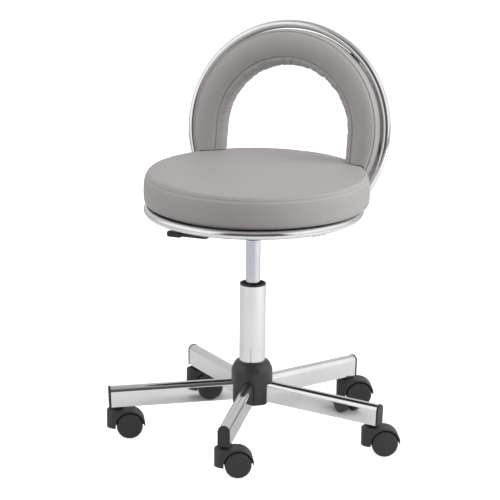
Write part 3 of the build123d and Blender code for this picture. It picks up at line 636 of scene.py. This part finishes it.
def seat_space_cutter():
    """The cushion's own space, the low cone over it and all below its belly: the legs end against these."""
    cone_radius, cone_top = 165.0, 512 + 4.5
    profile = [
        (300, 430), (300, 472), (215.2, 472), (215.1, 476), (214.6, 484), (214.2, 492), (213.2, 499),
        (211.6, 505), (209.5, 511.5), (204.0, 514.0), (cone_radius, cone_top),
    ]
    sides = 180
    points, faces = [], []
    for radius, height in profile:
        for side in range(sides):
            turn = 2 * math.pi * side / sides
            points.append((radius * math.cos(turn) * MM, radius * math.sin(turn) * MM + SEAT_Y, height * MM))
    for row in range(len(profile) - 1):
        for side in range(sides):
            a, b = row * sides + side, row * sides + (side + 1) % sides
            faces.append((a, b, b + sides, a + sides))
    faces.append(tuple(reversed(range(sides))))
    last = (len(profile) - 1) * sides
    faces.append(tuple(range(last, last + sides)))
    return make_object("cutter", points, faces, looks["leatherette"])


def build_back_pad():
    length = ARCH * math.pi / 2 + LEG
    count = 128
    distances = np.linspace(-length, length, count)
    points, kinds, places = [], [], []
    for distance in distances:
        inner, outer = station(distance)
        width = (outer - inner).length
        across = (outer - inner) / width
        for offset, out, kind in pad_section(width):
            spot = inner + across * offset
            points.append(back_point(spot.x, spot.y, out))
            kinds.append(kind)
            places.append((distance, offset, out))
    rows = len(points) // count
    faces = []
    for number in range(count - 1):
        for row in range(rows):
            a, b = number * rows + row, number * rows + (row + 1) % rows
            faces.append((a, a + rows, b + rows, b))
    faces.append(tuple(range(rows)))
    faces.append(tuple(reversed(range((count - 1) * rows, count * rows))))
    piece = make_object("backrest_pad_cover", points, faces, looks["leatherette"])
    ends = set(range(rows)) | set(range((count - 1) * rows, count * rows))
    held = [i for i, kind in enumerate(kinds) if kind in ("pin", "band") or i in ends]
    for name, column in (("run", 0), ("offset", 1), ("out", 2)):
        attribute = piece.data.attributes.new(name, "FLOAT", "POINT")
        attribute.data.foreach_set("value", [float(place[column]) for place in places])
    inflate(piece, held, 90.0, 3.6 * MM)
    subdivide(piece)
    apply_modifiers(piece)

    # the inner band is gathered round the arch, and both seams pull the front panel in a little
    mesh = piece.data
    spots, normals = read_points(mesh), read_normals(mesh)
    values = {}
    for name in ("run", "offset", "out"):
        values[name] = np.zeros(len(spots))
        mesh.attributes[name].data.foreach_get("value", values[name])
    run, offset, out = values["run"], values["offset"], values["out"]
    arch = np.clip(1.25 - np.abs(run) / 190.0, 0.16, 1.0)
    on_band = np.clip((13.0 - offset) / 4.0, 0, 1) * np.clip((out + 8.0) / 3.0, 0, 1)
    gathers = np.array([noise.noise(Vector((r / 8.5, o / 34.0, 7.3))) for r, o in zip(run, out)])
    crimps = np.array([noise.noise(Vector((r / 3.9, o / 16.0, 1.9))) for r, o in zip(run, out)])
    folds = (1.0 - 3.0 * np.abs(gathers)) * 1.9 + 1.1 * crimps
    width_share = np.clip((offset - 13.5) / 14.0, 0, 1)
    tug = np.exp(-width_share * 3.2) * (offset > 14.2) * (out > 20)
    radial = np.array([noise.noise(Vector((r / 6.0, 0.2, 11.0))) for r in run])
    slow = smooth_noise(spots, 16.0, 9.0)
    lift = folds * on_band * arch + 0.9 * radial * tug * arch + 0.5 * slow * (out > 10)
    write_points(mesh, spots + normals * (lift * MM)[:, None])
    subdivide(piece)
    apply_modifiers(piece)

    cutter = seat_space_cutter()
    cut = piece.modifiers.new("cut", "BOOLEAN")
    cut.operation, cut.solver, cut.object = "DIFFERENCE", "EXACT", cutter
    apply_modifiers(piece)
    bpy.data.objects.remove(cutter)
    piece.data.set_sharp_from_angle(angle=math.radians(50))
    return piece


back_pad = build_back_pad()
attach(back_pad, "seat")
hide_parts("backrest_pad")

back_skin = evaluated_mesh(back_pad)
STITCHED = ARCH * math.pi / 2 + 62.0
# from the inner edge or from the outer edge, and forward of the ring's plane
BACK_STITCH_ROWS = ((10.4, None, 26.0), (16.4, None, 28.5), (None, 8.2, 29.0))
for row, (from_inner, from_outer, out) in enumerate(BACK_STITCH_ROWS, start=1):
    targets = []
    for distance in np.linspace(-STITCHED, STITCHED, 520):
        inner, outer = station(distance)
        across = (outer - inner).normalized()
        spot = inner + across * from_inner if from_inner is not None else outer - across * from_outer
        targets.append(back_point(spot.x, spot.y, out))
    spots, normals = on_surface(back_skin, targets)
    row_piece = stitches(f"backrest_stitches_{row}", spots, normals, 4.4 * MM, 3.2 * MM, 0.4 * MM, 0.25 * MM)
    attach(row_piece, "seat")

# ---- camera, floor and light --------------------------------------------------------------------

VIEW_TURN = math.radians(21.6244)
VIEW_DROP = math.radians(14.8972)
VIEW_ROLL = math.radians(0.6003)
VIEW_DISTANCE = 5.3723
AIM_SIDE, AIM_HEIGHT = -0.00631, 0.36259
turned = Matrix.Rotation(VIEW_TURN, 4, "Z")
eye = turned @ Vector(
    (AIM_SIDE, -VIEW_DISTANCE * math.cos(VIEW_DROP), AIM_HEIGHT + VIEW_DISTANCE * math.sin(VIEW_DROP))
)
lens = bpy.data.cameras.new("camera")
lens.sensor_width = 36.0
lens.lens = 203.96
lens.clip_end = 100.0
camera = bpy.data.objects.new("camera", lens)
pitch = Matrix.Rotation(math.pi / 2 - VIEW_DROP, 4, "X")
camera.matrix_world = Matrix.Translation(eye) @ turned @ pitch @ Matrix.Rotation(VIEW_ROLL, 4, "Z")
scene = bpy.context.scene
scene.collection.objects.link(camera)
scene.camera = camera
scene.view_settings.view_transform = "Standard"
scene.view_settings.look = "None"


# a plain studio: white all round, open to the dark room in front, dimmer behind and overhead
FRONT = -90.0 + math.degrees(VIEW_TURN)
PANEL, GAP, ZENITH = 0.95, 0.10, 0.40
GAP_HALF_ANGLE, BACK_ANGLE, SOFT_EDGE = 30.0, 110.0, 15.0
BACK_LOSS = 0.4
ZENITH_START, ZENITH_FULL = 0.72, 0.92
BACKDROP = 1.2
FLOOR_DARK, FLOOR_PALE, FLOOR_GLOW, FLOOR_RADIUS = 0.63, 0.65, 0.80, 40.0
LAMP_AIM = Vector((0, 0, 0.35))


def grey_ramp(tree, value, low, high, stops):
    """A curve of brightness over a value, as a colour ramp: the stops are (value, brightness)."""
    spread = tree.nodes.new("ShaderNodeMapRange")
    spread.inputs["From Min"].default_value, spread.inputs["From Max"].default_value = low, high
    tree.links.new(value, spread.inputs["Value"])
    ramp = tree.nodes.new("ShaderNodeValToRGB")
    tree.links.new(spread.outputs[0], ramp.inputs[0])
    elements = ramp.color_ramp.elements
    while len(elements) < len(stops):
        elements.new(0.5)
    for element, (position, brightness) in zip(elements, stops):
        element.position = (position - low) / (high - low)
        element.color = (brightness, brightness, brightness, 1)
    return ramp.outputs[0]


def heading(tree, position):
    """The direction of a position round the stool, in degrees from the front, and its height."""
    turn = tree.nodes.new("ShaderNodeMapping")
    turn.inputs["Rotation"].default_value = (0, 0, math.radians(-FRONT))
    tree.links.new(position, turn.inputs["Vector"])
    parts = tree.nodes.new("ShaderNodeSeparateXYZ")
    tree.links.new(turn.outputs[0], parts.inputs[0])
    ahead, aside, height = parts.outputs
    angle = calculate(tree, "MULTIPLY", calculate(tree, "ARCTAN2", aside, ahead), math.degrees(1.0))
    return angle, height


def mix_shaders(tree, share, first, second):
    mixed = tree.nodes.new("ShaderNodeMixShader")
    for socket, value in zip(mixed.inputs, (share, first, second)):
        tree.links.new(value, socket)
    return mixed.outputs[0]


def make_floor():
    """A plain pale floor, with a glow that only the camera sees, to lift it to white."""
    sides = 96
    turns = [2 * math.pi * k / sides for k in range(sides)]
    points = [(0, 0, 0)] + [(FLOOR_RADIUS * math.cos(t), FLOOR_RADIUS * math.sin(t), 0) for t in turns]
    faces = [(0, k + 1, (k + 1) % sides + 1) for k in range(sides)]
    look = Look("floor", Roughness=0.7, Specular_IOR_Level=0.1)
    dark, pale = (FLOOR_DARK,) * 3, (FLOOR_PALE,) * 3
    look.connect(Base_Color=look.ramp(look.noise(1.5), (0.0, dark), (1.0, pale)))
    tree = look.tree
    glow = look.add("ShaderNodeEmission", None, {"Color": (1, 1, 1, 1), "Strength": FLOOR_GLOW})
    both = look.add("ShaderNodeAddShader")
    tree.links.new(look.shader.outputs[0], both.inputs[0])
    tree.links.new(glow.outputs[0], both.inputs[1])
    seen = look.add("ShaderNodeLightPath").outputs["Is Camera Ray"]
    lifted = mix_shaders(tree, seen, look.shader.outputs[0], both.outputs[0])
    tree.links.new(lifted, tree.nodes["Material Output"].inputs[0])
    floor = make_object("floor", points, faces, look.material)


def make_world():
    """The studio round the stool: one world for every ray but the camera's, which sees plain white."""
    world = bpy.data.worlds.new("studio")
    scene.world = world
    world.use_nodes = True
    tree = world.node_tree
    tree.nodes.clear()
    angle, height = heading(tree, tree.nodes.new("ShaderNodeTexCoord").outputs["Generated"])
    aside = calculate(tree, "ABSOLUTE", angle)
    edge = GAP_HALF_ANGLE + SOFT_EDGE
    around = grey_ramp(tree, aside, 0, 180, (
        (0, GAP), (GAP_HALF_ANGLE, GAP), (edge, PANEL), (BACK_ANGLE, PANEL),
        (BACK_ANGLE + SOFT_EDGE, PANEL * (1 - BACK_LOSS)), (180, PANEL * (1 - BACK_LOSS))))
    stops = ((0.0, 0.0), (ZENITH_START, 0.0), (ZENITH_FULL, 1.0), (1.0, 1.0))
    overhead = grey_ramp(tree, height, 0, 1, stops)
    walls = calculate(tree, "MULTIPLY", around, calculate(tree, "SUBTRACT", 1.0, overhead))
    strength = calculate(tree, "ADD", walls, calculate(tree, "MULTIPLY", overhead, ZENITH))
    backgrounds = []
    for value in (strength, BACKDROP):
        background = tree.nodes.new("ShaderNodeBackground")
        background.inputs["Color"].default_value = (1, 1, 1, 1)
        if isinstance(value, bpy.types.NodeSocket):
            tree.links.new(value, background.inputs["Strength"])
        else:
            background.inputs["Strength"].default_value = value
        backgrounds.append(background.outputs[0])
    seen = tree.nodes.new("ShaderNodeLightPath").outputs["Is Camera Ray"]
    output = tree.nodes.new("ShaderNodeOutputWorld")
    tree.links.new(mix_shaders(tree, seen, *backgrounds), output.inputs[0])


def soft_box(name, side, away, height, width, length, power):
    """A large soft light, turned to the stool and left out of reflections, which show the world alone."""
    light = bpy.data.lights.new(name, "AREA")
    light.shape = "RECTANGLE"
    light.size, light.size_y = width, length
    light.energy = power
    lamp = bpy.data.objects.new(name, light)
    lamp.location = turned @ Vector((side, away, height))
    lamp.rotation_mode = "QUATERNION"
    lamp.rotation_quaternion = (LAMP_AIM - lamp.location).to_track_quat("-Z", "Y")
    lamp.visible_camera = False
    lamp.visible_glossy = False
    scene.collection.objects.link(lamp)


make_floor()
make_world()
soft_box("light_top", 0.0, -0.6, 2.9, 2.2, 2.2, 29.0)
soft_box("light_right", 2.4, -0.5, 1.3, 1.2, 1.8, 52.0)
soft_box("light_left", -2.6, -0.4, 1.2, 1.0, 1.8, 15.0)
soft_box("light_front", 0.3, -2.3, 2.8, 1.2, 1.2, 9.0)
